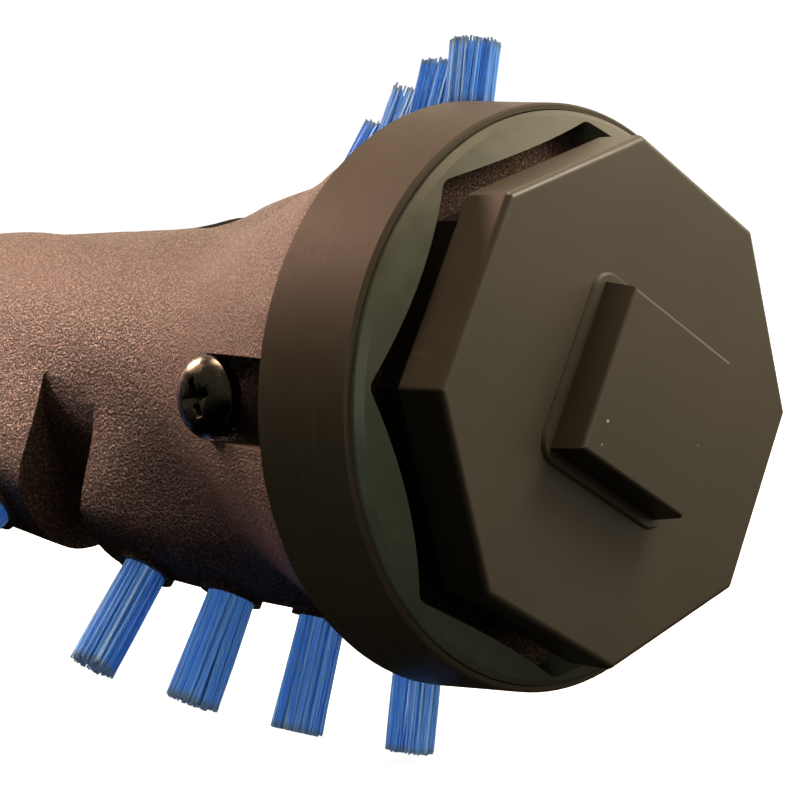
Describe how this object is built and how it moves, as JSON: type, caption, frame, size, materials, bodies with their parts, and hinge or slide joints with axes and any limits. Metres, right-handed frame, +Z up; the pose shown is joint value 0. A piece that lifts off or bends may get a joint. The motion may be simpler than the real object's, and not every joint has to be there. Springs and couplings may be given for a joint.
{
  "type": "vacuum cleaner brush roller",
  "caption": "Rotary brush roller for an upright vacuum cleaner, with twisted ridges of bristle tufts, flared ends, smooth collars and octagonal end blocks with square pegs.",
  "frame": {"origin": "on the roller's axis, midway between the two octagonal end faces", "axes": "+X along the axis towards the driven end, +Z up, +Y completes a right-handed frame"},
  "size_m": [0.357, 0.0678, 0.0676],
  "materials": {
    "barrel_plastic": "fine-grained moulded glass-filled plastic",
    "collar_plastic": "smooth satin",
    "ring_plastic": "smooth satin",
    "plug_plastic": "satin with light scuffs",
    "bristle": "clear-toned blue nylon",
    "screw_steel": "black zinc plate",
    "steel": "turned",
    "bearing_steel": "ground and polished",
    "cage_plastic": "natural nylon",
    "staple_wire": "drawn wire",
    "felt": "pressed grey felt"
  },
  "bodies": {
    "bearing_block": {"idle_block": "plug_plastic", "idle_axle": "steel", "bearing_inner": "bearing_steel", "axle_washer": "steel", "axle_clip": "steel"},
    "roller": {"roller_core": "barrel_plastic", "collar_drive": "collar_plastic", "collar_idle": "collar_plastic", "ring_drive": "ring_plastic", "ring_idle": "ring_plastic", "drive_plug": "plug_plastic", "plug_core": "steel", "screws_drive": "screw_steel", "screws_idle": "screw_steel", "bearing_carrier": "plug_plastic", "bearing_outer": "bearing_steel", "felt_seal": "felt", "tufts_a1": "bristle", "tufts_a2": "bristle", "tufts_a3": "bristle", "tufts_a4": "bristle", "tufts_a5": "bristle", "tufts_b1": "bristle", "tufts_b2": "bristle", "tufts_b3": "bristle", "tufts_b4": "bristle", "tufts_b5": "bristle", "anchors_a1": "staple_wire", "anchors_a2": "staple_wire", "anchors_a3": "staple_wire", "anchors_a4": "staple_wire", "anchors_a5": "staple_wire", "anchors_b1": "staple_wire", "anchors_b2": "staple_wire", "anchors_b3": "staple_wire", "anchors_b4": "staple_wire", "anchors_b5": "staple_wire"},
    "ball_set": {"bearing_balls": "bearing_steel", "bearing_cage": "cage_plastic"}
  },
  "joints": [
    {"name": "roller_spin", "type": "hinge", "parent": "bearing_block", "child": "roller", "pos_m": [-0.1575, 0, 0], "axis": [1, 0, 0], "continuous": true},
    {"name": "ball_set_spin", "type": "hinge", "parent": "bearing_block", "child": "ball_set", "pos_m": [-0.1575, 0, 0], "axis": [1, 0, 0], "continuous": true}
  ],
  "couplings": [
    {"joint": "ball_set_spin", "follows": "roller_spin", "ratio": 0.6323}
  ]
}
